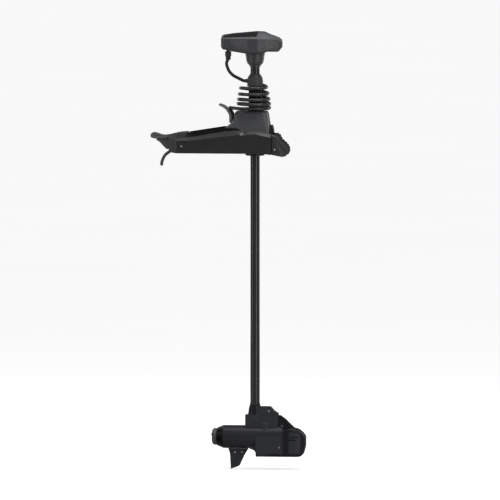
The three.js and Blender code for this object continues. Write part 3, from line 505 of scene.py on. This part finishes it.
# ---------------------------------------------------------------- steering tower
TOWER_REAR = [
    (24, -66), (64, -70), (74, -106), (80, -128), (88, -134), (96, -131), (103, -124.5),
    (114, -111), (126, -96), (137, -89), (162, -84), (170, -81), (174, -76),
]
TOWER_FRONT = [(24, 56), (72, 60), (117, 62), (148, 58), (162, 56.5), (170, 54), (174, 51)]
TOWER_SIDE = [(24, 52), (110, 52), (126, 50.5), (148, 48), (162, 46), (170, 43), (174, 38)]
TOWER_CORNER = [(24, 8), (100, 13), (137, 24), (174, 30)]
TOWER_LEVELS = [24, 30, 40, 52, 60, 64, 67, 70, 73, 76, 79, 82, 85, 88, 91, 94, 97, 100, 104, 108,
                112, 116, 120, 124, 128, 132, 137, 142, 148, 154, 160, 164, 167, 170, 172, 173.4, 174]


def tower_ring(z, inset, rear, front, side, corner):
    half = side(z) - inset
    outline = rounded_rect(rear(z) + inset, front(z) - inset, -half, half, corner(z), 8)
    return [(x, y, z) for x, y in outline]


def tower_housing():
    lines = (soft(TOWER_REAR, 2.5), soft(TOWER_FRONT, 4), soft(TOWER_SIDE, 3), soft(TOWER_CORNER, 4))
    shell = skin("tower_housing_moulded", [tower_ring(z, 0, *lines) for z in TOWER_LEVELS])
    inside = [z for z in TOWER_LEVELS if z < 168]
    rings = [tower_ring(z, 4, *lines) for z in inside]
    rings[0] = [(x, y, 20) for x, y, _ in rings[0]]
    cut(shell, skin("inside", rings))
    cut(shell, box("ear_slot", -140, -98, -48, 48, 70, 106))
    cut(shell, box("latch_slot", -80, -50, -10, 10, 18, 44))
    cut(shell, drill("mouth", SLEEVE_R + 3, 158, 182, segments=72))
    cut(shell, drill("cord_hole", 8.8, 118, 170, at=CORD_HOLE, segments=32))
    cut(shell, drill("pin_bore", 9, -60, 60, "Y", PIVOT, 40))
    lug = rounded([(-84, 122), (-84, 146), (-103, 139, 5), (-108, 130, 6), (-103, 124, 5)], 0, 6)
    for side in (-1, 1):
        fuse(shell, prism("lug", lug, side * 8.6, side * 12.4))
    cut(shell, drill("lever_bore", 3.3, -16, 16, "Y", LEVER_PIVOT, 24))
    fit(edges(shell, 0.9, 3, 38), "tower", "tower", "tower_housing")


def tower_pieces():
    recut("tower_frame", "tower", "cast_frame", 0.8, 2)
    recut("front_catch", "tower", "casing", 1.6, 3)
    recut("depth_lever", "lever", "lever", 1.1, 3, 24)
    recut("cord_gland", "tower", "rubber", 0.3, 2)
    recut("lever_pin", "tower", "steel", 0.5, 2)
    inner = SLEEVE_R + 0.4
    bush = [(inner, -10), (38, -10), (40, -8), (40, 13.6), (34, 13.6), (34, 23), (inner, 23)]
    fit(edges(lathe("lower_bush_ring", bush), 0.6, 2), "tower", "rubber", "lower_bush")
    inner = SLEEVE_R + 0.5
    seal = [(inner, 166), (29.6, 166), (29.6, 174.3), (36, 174.3), (35, 177), (33.5, 180),
            (31, 179.2), (29.5, 180), (inner, 180)]
    fit(edges(lathe("upper_seal_ring", seal), 0.5, 2), "tower", "rubber", "upper_seal")
    inner = SHAFT_R + 1
    sleeve = [(inner, SLEEVE_FOOT), (SLEEVE_R - 0.6, SLEEVE_FOOT), (SLEEVE_R, SLEEVE_FOOT + 0.8),
              (SLEEVE_R, SLEEVE_TOP - 0.8), (SLEEVE_R - 0.8, SLEEVE_TOP), (inner, SLEEVE_TOP)]
    # the sleeve's near-black finish is painted shade from the coil
    fit(edges(lathe("steering_sleeve_tube", sleeve, segments=72), 0), "sleeve", "sleeve",
        "steering_sleeve")


tower_housing()
tower_pieces()


# ---------------------------------------------------------------- coil cord
CORD_R = 7
CORD_SIDES = 18
COIL_TURNS = 4.5
COIL_SPLIT = 1.25  # the coil cord is split into two pieces at this many turns
COIL_X, COIL_Z = -5, 188.2  # the coil's middle, and the height of its lowest turn
COIL_R, COIL_TAPER = 66, 0.75  # the radius, and what it loses times the turns squared
COIL_PITCH, COIL_SPREAD = 14, 1.7  # rise with the turns, and with the turns squared
COIL_SAG = 4.8
COIL_TUCK, COIL_TUCK_TURNS = 5, 0.35  # the first part of a turn is drawn in


def coil_point(turns):
    angle = 2 * math.pi * turns - math.pi / 2
    tuck = COIL_TUCK * max(0.0, 1 - turns / COIL_TUCK_TURNS)
    radius = COIL_R - COIL_TAPER * turns * turns - tuck
    sag = COIL_SAG * math.sin(2 * math.pi * turns)
    return (COIL_X + radius * math.cos(angle), radius * math.sin(angle),
            COIL_Z + COIL_PITCH * turns + COIL_SPREAD * turns * turns - sag)


def stretch_with(obj):
    """Bakes a cord's transform into its mesh."""
    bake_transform(obj)


def coil_cord(name, path, node):
    obj = swept(name, path, CORD_R, CORD_SIDES)
    obj.data.polygons.foreach_set("use_smooth", [True] * len(obj.data.polygons))
    obj.data.set_sharp_from_angle(angle=math.radians(50))
    dress(obj, "cord")
    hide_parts(node)
    stretch_with(obj)


def coil_cords():
    lead = [(-90, 0, 137), (-90, 0, 145), (-90, 0, 152), (-94, -1, 165), (-101, -4, 179),
            (-102.5, -17, 188), (-92, -38, 189), (-50, -58, 187)]
    turns = np.linspace(0, COIL_SPLIT, 31)
    low = curve_through(lead + [coil_point(t) for t in turns], 150)
    coil_cord("coil_cord_turning", low, "coil_cord_lower")
    turns = np.linspace(COIL_SPLIT + 0.01, COIL_TURNS, 180)
    high = [coil_point(t) for t in turns]
    coil_cord("coil_cord_stretching", high, "coil_cord_upper")


coil_cords()


# ---------------------------------------------------------------- shaft, collar, stem
def shaft_pieces():
    inner = SHAFT_R - 3
    tube = [(inner, SHAFT_FOOT), (SHAFT_R, SHAFT_FOOT), (SHAFT_R, SHAFT_TOP), (inner, SHAFT_TOP)]
    fit(edges(lathe("shaft_tube_drawn", tube, segments=72), 0.3, 2), "shaft", "shaft_black", "shaft_tube")
    recut("collar_fore", "shaft", "collar", 0.8, 3)
    recut("collar_aft", "shaft", "collar", 0.8, 3)
    inner = SHAFT_R + 0.3
    profile = [(inner, 358), (22.5, 358), (23, 359), (23, 364), (25, 365.5), (29, 369), (32.2, 373),
               (34.4, 377), (35.7, 381), (36.5, 385), (37.8, 394), (38.8, 402), (40.5, 411),
               (40.8, 413.4), (inner, 413.4)]
    stem = lathe("head_stem_moulded", profile, segments=96)
    cut(stem, box("split", -1, 1, -45, -15, 350, 420))
    fit(edges(stem, 0.6, 3, 34), "shaft", "stem", "head_stem")
    ribs = [(r, z) for k in range(3) for r, z in
            ((11, 390 + 3.4 * k), (10.1, 390.6 + 3.4 * k), (10.1, 392 + 3.4 * k), (11, 392.6 + 3.4 * k))]
    plug = [(0, 386), (8, 386), (10.4, 387), (11, 389), *ribs, (11, 400.5), (13, 402), (13, 421),
            (7.5, 421), (7.5, 440), (0, 440)]
    fit(edges(lathe("cable_plug_moulded", plug, at=PLUG, segments=40), 0.4, 2), "shaft", "casing",
        "cable_plug")
    cable = curve_through([
        (-112, 0, 386.5), (-115.5, 0, 382.2), (-118.4, 0, 375.7), (-118.5, 0, 367.3),
        (-116.6, 0, 359), (-113.5, 0, 350.7), (-109.7, 0, 342.4), (-104.1, 0, 334.1),
        (-96, 0, 325.8), (-84.1, 0, 317.5), (-63, 0, 307), (-48, 0, 300), (-40.6, 0, 299.5),
    ], 110)
    fit(edges(swept("head_cable_sheath", cable, HEAD_CABLE_R, 20), 0.5, 2), "shaft", "cord",
        "head_cable")


shaft_pieces()

# ---------------------------------------------------------------- head
# Lines of (x, value) along the head.
HEAD_REAR, HEAD_NOSE = -136, 113
HEAD_RIDGE = [(-136, 489), (-129, 491.5), (-90, 498), (10, 507.5), (41, 506.5), (65, 495), (103, 482),
              (113, 472)]
HEAD_EDGE = [(-136, 476), (-129, 478), (18, 479), (84, 474), (103, 468), (113, 459)]
HEAD_KEEL = [(-136, 440), (-129, 432), (-119, 431), (-87, 424), (-28, 414.8), (18, 414.4), (41, 414.6),
             (46, 423), (98, 421.5), (113, 440)]
HEAD_HALF = [(-136, 58), (-129, 68), (-90, 70), (18, 70), (84, 36), (103, 24), (113, 14)]
HEAD_LINES = (soft(HEAD_RIDGE, 5), soft(HEAD_EDGE, 4), soft(HEAD_KEEL, 2), soft(HEAD_HALF, 5))
HEAD_SPLIT = 472  # the lower and upper shells meet at this height
HEAD_WALL = 3
PANEL_SEAT = 474


def head_ring(x, inset):
    ridge, edge, keel, half = (line(x) for line in HEAD_LINES)
    half, ridge, edge, keel = half - inset, ridge - inset, edge - inset * 0.4, keel + inset
    chine = keel + min(8, half * 0.3)
    flat = half * 0.45
    right = [(-flat, ridge - (ridge - edge) * 0.28, 6), (-half, edge, 3.2), (-half + 2, chine, 5),
             (-half + 9, keel, 5)]
    left = [(-y, z, t) for y, z, t in right][::-1]
    return [(x, y, z) for y, z in rounded([(0, ridge, 6), *right, *left], 0, 5)]


def head_body(name, inset):
    xs = np.linspace(HEAD_REAR + inset, HEAD_NOSE - inset, 64)
    return skin(name, [head_ring(x, inset) for x in xs])


def head_pieces():
    lower = head_body("head_lower_shell_moulded", 0)
    cut(lower, head_body("inside", HEAD_WALL))
    cut(lower, box("above", -200, 200, -100, 100, HEAD_SPLIT, 600))
    cut(lower, drill("stem_hole", SHAFT_R + 1, 400, 430, segments=48))
    cut(lower, drill("plug_hole", 8, 400, 445, at=PLUG, segments=32))
    vents, pitch, width, floor = 11, 8, 2.2, 69.1
    for k in range(vents):
        x = -108 + k * pitch
        cut(lower, box("vent", x, x + width, -75, -floor, 456, 467))
        cut(lower, box("vent", x, x + width, floor, 75, 456, 467))
    band = 2.4
    bands = box("band", 50, 94, -80, 80, 430, 430 + band)
    for z in (438, 446, 454, 462):
        fuse(bands, box("band", 50, 94, -80, 80, z, z + band))
    grooves = head_body("grooves", -0.8)
    cut(grooves, head_body("inside", 0.9))
    cut(grooves, bands, how="INTERSECT")
    cut(lower, grooves)
    fit(edges(lower, 0.5, 3, 34), "shaft", "head", "head_lower_shell")

    panel_edge = rounded_rect(-126, 14, -58, 58, 9, 6)
    seat_edge = rounded_rect(-126.3, 14.3, -58.3, 58.3, 9.3, 6)
    upper = head_body("head_upper_shell_moulded", 0)
    cut(upper, head_body("inside", 2 * HEAD_WALL))
    cut(upper, box("below", -200, 200, -100, 100, 300, HEAD_SPLIT + 0.5))
    seat = prism_z("seat", seat_edge, PANEL_SEAT, 600)
    cut(seat, head_body("keep", 3.4))
    cut(upper, seat)
    fit(edges(upper, 0.7, 3, 34), "shaft", "head", "head_upper_shell")

    panel = head_body("display_panel_glass", 0)
    cut(panel, head_body("inside", HEAD_WALL))
    cut(panel, prism_z("edge", panel_edge, PANEL_SEAT, 600), how="INTERSECT")
    fit(edges(panel, 0.6, 3, 34), "shaft", "gloss_panel", "display_panel")


head_pieces()


# ---------------------------------------------------------------- lower unit
def motor_bar(name, radius, x0, x1, segments=96):
    return drill(name, radius, x0, x1, "X", (0, 0, MOTOR_Z), segments)


def lower_hub():
    profile = [(0, -1041), (20.4, -1041), (21, -1041.8), (22, -1048), (23.6, -1054), (25.5, -1060),
               (26.5, -1068), (28, -1080), (29.4, -1085), (31, -1088), (31, -1120), (0, -1120)]
    hub = lathe("lower_hub_cast", profile, segments=64)
    fuse(hub, prism_z("body", rounded_rect(-40, 98, -28, 28, 12), -1141, -1090))
    brow = rounded([(0, -1100), (6, -1076, 8), (17, -1055.6, 6), (65, -1055.6, 6), (81, -1074, 6),
                    (98, -1084, 3), (98, -1100)])
    fuse(hub, prism("brow", brow, -24, 24))
    fuse(hub, prism_z("saddle", rounded_rect(8, 92, -26, 26, 10), -1155, -1130))
    for y in (-10, 10):
        fuse(hub, lathe("boss", [(0, -1155), (26, -1155), (26, -1122), (24, -1120), (0, -1120)],
                        at=(41, y, 0), segments=64))
    cut(hub, motor_bar("seat", MOTOR_R + MOTOR_FIT, -200, 200))
    cut(hub, drill("bore", SHAFT_R + 0.3, SHAFT_FOOT - 1, -1030))
    cut(hub, drill("wireway", 8, -1160, -1080, segments=32))
    cut(hub, drill("screw_seat", 6, -30, -21, "Y", (HUB_SCREW[0], 0, HUB_SCREW[1]), 32))
    fit(edges(hub, 1.2, 3, 34), "shaft", "drive_paint", "lower_hub")


# Lines of (x, value) along the sonar nose.
NOSE_TOP = [(7, -1150), (114, -1148), (152, -1141), (184, -1150.5), (204, -1165), (212, -1177)]
NOSE_KEEL = [(7, -1262), (176, -1262), (186, -1262), (196, -1259), (206, -1246), (212, -1216)]
NOSE_HALF = [(7, 51), (152, 51), (176, 49), (190, 44), (204, 36), (212, 24)]


def nose_housing():
    top, keel, half = soft(NOSE_TOP, 6), soft(NOSE_KEEL, 4), soft(NOSE_HALF, 5)
    stations = [7, 40, 80, 105, 110, 114, 118, 122, 130, 138, 144, 148, 152, 156, 160, 165, 170, 174,
                178, 182, 186, 190, 193, 196, 199, 202, 204, 206, 208, 210, 211, 212]
    rings = []
    for x in stations:
        outline = rounded_rect(-half(x), half(x), keel(x), top(x), 16, 8)
        rings.append([(x, y, z) for y, z in outline])
    nose = skin("nose_housing_cast", rings)
    arch = rounded([(8, -1262), (4, -1242, 6), (-4, -1234, 5), (-19, -1230, 2), (-19, -1215), (8, -1215)])
    fuse(nose, prism("arch", arch, -34, 34))
    cut(nose, motor_bar("seat", MOTOR_R + MOTOR_FIT, -60, MOTOR_FRONT + 0.3))
    fuse(nose, motor_bar("plug", MOTOR_BORE - MOTOR_FIT, 97, MOTOR_FRONT + 1))
    cut(nose, box("open_top", -30, MOTOR_FRONT + 0.3, -60, 60, -1172, -1100))
    cut(nose, box("well", 24.7, 170.3, -38.3, 38.3, -1270, -1240))
    cut(nose, motor_bar("bearing_seat", 16.3, 90, 108, 48))
    for side in (-1, 1):
        cut(nose, prism("slot", rounded_rect(149, 196, -1182, -1176, 2.9), side * 43, side * 60))
        cut(nose, prism("slot", rounded_rect(147, 176, -1193, -1188, 2.4), side * 43, side * 60))
        cut(nose, box("seam", MOTOR_FRONT - 1.4, MOTOR_FRONT, side * 50.2, side * 60, -1262, -1172))
    fit(edges(nose, 1.1, 3, 34), "shaft", "drive_paint", "nose_housing")


def motor_pieces():
    tube = [(MOTOR_BORE, MOTOR_REAR), (MOTOR_R - 0.6, MOTOR_REAR), (MOTOR_R, MOTOR_REAR + 0.7),
            (MOTOR_R, MOTOR_FRONT - 0.6), (MOTOR_R - 0.5, MOTOR_FRONT), (MOTOR_BORE, MOTOR_FRONT)]
    fit(edges(lathe("motor_tube_drawn", tube, "X", (0, 0, MOTOR_Z), 112), 0), "shaft", "tube",
        "motor_tube")
    bell = [(7, -158), (35, -158), (36, -157.6), (38, -155), (40.6, -149), (42.5, -143.5), (47.6, -132.8),
            (47.8, -132), (43.6, -132), (43.6, -124), (12.6, -124), (12.6, -152), (7, -152)]
    # the bell's near-black finish is painted shade
    fit(edges(lathe("rear_bell_turned", bell, "X", (0, 0, MOTOR_Z), 96), 0.4, 2), "shaft", "bell",
        "rear_bell")
    recut("cable_guard", "shaft", "tube", 2.0, 4, 24)
    recut("transducer", "shaft", "rubber", 2.0, 3)
    outline = rounded([(-112, -1230.7), (-104.5, -1251, 14), (-101, -1316.5, 3), (-64, -1303, 8),
                       (-45.5, -1261, 4), (-27, -1230.7)], 0, 8)
    fin = skin("skeg_cast", [[(x, y, z) for x, z in outline] for y in (-4, 4)])
    for x, z in SKEG_SCREWS:
        cut(fin, drill("hole", 3.4, -9, 9, "Y", (x, 0, z), 24))
    fit(edges(fin, 1.6, 4, 24), "shaft", "drive_paint", "skeg")


# ---------------------------------------------------------------- propeller
# Blade stations: radius, chord, pitch in degrees, thickness, lag, rake.
PROP_X = -170
BLADE = [(14, 30, 32, 8, 0, 0), (32, 38, 28, 7, 1, 0.2), (50, 44, 25, 6.4, 2, 0.5), (65, 48, 22, 6, 2, 1.2),
         (80, 50, 20, 5.5, 2, 2), (95, 49, 18, 5, 1, 3.2), (110, 46, 16, 4.5, -1, 4.5),
         (130, 38, 14, 3.5, -4, 6.5), (138, 30, 13.4, 2.9, -5, 7.3), (144.5, 14, 13, 2.0, -6, 8)]


def blade(name, turn):
    """One blade along +y, lofted through lens sections that twist and rake forward."""
    lens = [(math.cos(a), math.sin(a)) for a in np.linspace(0, 2 * math.pi, 28, endpoint=False)]
    rings = []
    for radius, chord, pitch, thick, lag, rake in BLADE:
        p = math.radians(pitch)
        ring = []
        for u, v in lens:
            along = u * chord / 2 + lag
            across = v * thick / 2 * (1 - 0.55 * abs(u)) + 0.02 * chord * (1 - u * u)
            x = along * math.sin(p) + across * math.cos(p) + rake
            z = along * math.cos(p) - across * math.sin(p)
            ring.append((x + PROP_X, radius * math.cos(turn) - z * math.sin(turn),
                         radius * math.sin(turn) + z * math.cos(turn) + MOTOR_Z))
        rings.append(ring)
    return skin(name, rings)


def propeller():
    inner = DRIVE_R + 0.3
    profile = [(inner, -158.7), (34.2, -158.7), (35, -159.4), (35, -169), (34.4, -171), (31, -176),
               (28, -178), (24, -179), (11, -179), (11, -172), (inner, -172)]
    hub = lathe("propeller_moulded", profile, "X", (0, 0, MOTOR_Z), 72)
    fuse(hub, blade("a", 0.0), blade("b", math.pi))
    cut(hub, motor_bar("bore", inner, -200, -150, 32), motor_bar("well", 11, -200, -172, 48))
    fit(edges(hub, 0.7, 3, 40, 50), "propeller", "hub", "propeller")
    recut("prop_nut", "propeller", "steel", 0.7, 2)
    shaft = [(0, -177.5), (DRIVE_R - 0.7, -177.5), (DRIVE_R, -176.8), (DRIVE_R, 107), (0, 107)]
    fit(edges(lathe("drive_shaft_ground", shaft, "X", (0, 0, MOTOR_Z), 32), 0), "propeller", "steel",
        "drive_shaft")


lower_hub()
nose_housing()
motor_pieces()
propeller()


# ---------------------------------------------------------------- fasteners
def screw(name, x, y, z, radius, body, side, *nodes):
    """A pan head with a six-sided socket, seated on a face at y and facing side."""
    r = radius
    profile = [(0, 0), (r, 0), (r, 0.25 * r), (0.86 * r, 0.42 * r), (0.6 * r, 0.52 * r), (0, 0.56 * r)]
    head = lathe(name, [(a, y + side * h) for a, h in profile], "Y", (x, 0, z), 32)
    socket = [(x + 0.42 * r * math.cos(a), z + 0.42 * r * math.sin(a))
              for a in np.linspace(0, 2 * math.pi, 6, endpoint=False)]
    cut(head, prism("socket", socket, y + side * 0.2 * r, y + side * r))
    return fit(edges(head, 0.12, 2, 30), body, "steel", *nodes)


def fasteners():
    for side, hand in ((-1, "right"), (1, "left")):
        screw("cover_crest_screw_" + hand, -49, side * (COVER_OUT + 0.3), 80.5, 4.6, "base", side,
              "cover_screw_" + hand)
        screw("cover_rear_screw_" + hand, -299, side * COVER_OUT, 30.5, 4.4, "base", side)
        screw("arm_screw_" + hand, 88.5, side * 69.6, 18, 3.6, "base", side)
        screw("nose_screw_" + hand, 105, side * 51, -1222, 3.6, "shaft", side)
        for letter, (x, z) in zip("ab", SKEG_SCREWS):
            screw(f"skeg_screw_{letter}_{hand}", x, side * 4, z, 4.2, "shaft", side)
    screw("hub_screw", HUB_SCREW[0], -21.5, HUB_SCREW[1], 4.6, "shaft", -1)


fasteners()


# ---------------------------------------------------------------- parts inside
INNER = {
    "pivot_bush_right": "bronze", "pivot_bush_left": "bronze", "steering_motor": "steel",
    "control_board": "circuit_board", "steering_pinion": "steel", "steering_gear": "steel",
    "shaft_wires": "winding", "head_board": "circuit_board", "rear_bearing": "steel",
    "front_bearing": "steel", "stator": "winding", "rotor": "steel",
}
for inner, finish in INNER.items():
    dress(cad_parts[inner], finish)


# ---------------------------------------------------------------- studio
def studio():
    floor_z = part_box("skeg")[0].z - 0.0008
    bpy.ops.mesh.primitive_plane_add(size=160, location=(SHAFT_X, 0, floor_z))
    floor = bpy.context.object
    floor.name = "studio_floor"
    material, tree, shader = tree_of("pale_floor")
    tone = mixed(tree, noise(tree, 0.7), (0.86, 0.86, 0.86), (0.9, 0.9, 0.9))
    seen = tree.nodes.new("ShaderNodeLightPath")
    tone = mixed(tree, seen.outputs["Is Camera Ray"], (0.3, 0.3, 0.3), tone)
    tree.links.new(tone, shader.inputs["Base Color"])
    shader.inputs["Roughness"].default_value = 0.9
    shader.inputs["Specular IOR Level"].default_value = 0.0
    lift = tree.nodes.new("ShaderNodeMath")
    lift.operation = "MULTIPLY"
    lift.inputs[1].default_value = 0.5
    tree.links.new(seen.outputs["Is Camera Ray"], lift.inputs[0])
    shader.inputs["Emission Color"].default_value = (1, 1, 1, 1)
    tree.links.new(lift.outputs[0], shader.inputs["Emission Strength"])
    floor.data.materials.append(material)

    world = bpy.data.worlds.new("studio")
    bpy.context.scene.world = world
    world.use_nodes = True
    tree = world.node_tree
    tree.nodes.clear()
    out = tree.nodes.new("ShaderNodeOutputWorld")
    path = tree.nodes.new("ShaderNodeLightPath")

    def background(strength):
        made = tree.nodes.new("ShaderNodeBackground")
        made.inputs[0].default_value = (1, 1, 1, 1)
        made.inputs[1].default_value = strength
        return made

    def choose(switch, a, b):
        made = tree.nodes.new("ShaderNodeMixShader")
        tree.links.new(switch, made.inputs[0])
        tree.links.new(a.outputs[0], made.inputs[1])
        tree.links.new(b.outputs[0], made.inputs[2])
        return made

    glossy = choose(path.outputs["Is Glossy Ray"], background(0.5), background(0.07))
    seen = choose(path.outputs["Is Camera Ray"], glossy, background(1.0))
    tree.links.new(seen.outputs[0], out.inputs[0])

    target = Vector((SHAFT_X, 0, -0.35))
    for name, azimuth, height, distance, width, tall, power in (
        ("right_softbox", 42, 0.4, 3.2, 0.5, 3.2, 19),
        ("left_softbox", -60, 0.4, 3.0, 0.5, 3.2, 10),
        ("back_right", 140, 0.6, 3.2, 0.9, 2.6, 16),
        ("back_left", -140, 0.6, 3.2, 0.9, 2.6, 16),
    ):
        a = math.radians(azimuth)
        light = bpy.data.lights.new(name, "AREA")
        light.shape, light.size, light.size_y, light.energy = "RECTANGLE", width, tall, power
        obj = bpy.data.objects.new(name, light)
        bpy.context.scene.collection.objects.link(obj)
        obj.location = target + Vector((math.sin(a) * distance, -math.cos(a) * distance, height))
        aim = Vector((target.x, target.y, obj.location.z)) - obj.location
        obj.rotation_euler = aim.to_track_quat("-Z", "Y").to_euler()
    light = bpy.data.lights.new("top_softbox", "AREA")
    light.shape, light.size, light.size_y, light.energy = "RECTANGLE", 2.0, 1.6, 42
    obj = bpy.data.objects.new("top_softbox", light)
    bpy.context.scene.collection.objects.link(obj)
    obj.location = (SHAFT_X + 0.5, -0.3, 2.4)
    bpy.context.scene.view_settings.view_transform = "Standard"


def camera():
    azimuth, elevation, distance = math.radians(6), math.radians(4.5), 50.0
    target = Vector((SHAFT_X - 0.0211, 0, -0.404))
    back = Vector((math.sin(azimuth) * math.cos(elevation), -math.cos(azimuth) * math.cos(elevation),
                   math.sin(elevation)))
    cam = bpy.data.objects.new("camera", bpy.data.cameras.new("camera"))
    bpy.context.scene.collection.objects.link(cam)
    cam.data.lens = 36 * distance / 2.075
    cam.data.clip_end = 200
    cam.location = target + back * distance
    cam.rotation_mode = "QUATERNION"
    cam.rotation_quaternion = (-back).to_track_quat("-Z", "Y")
    bpy.context.scene.camera = cam


studio()
camera()
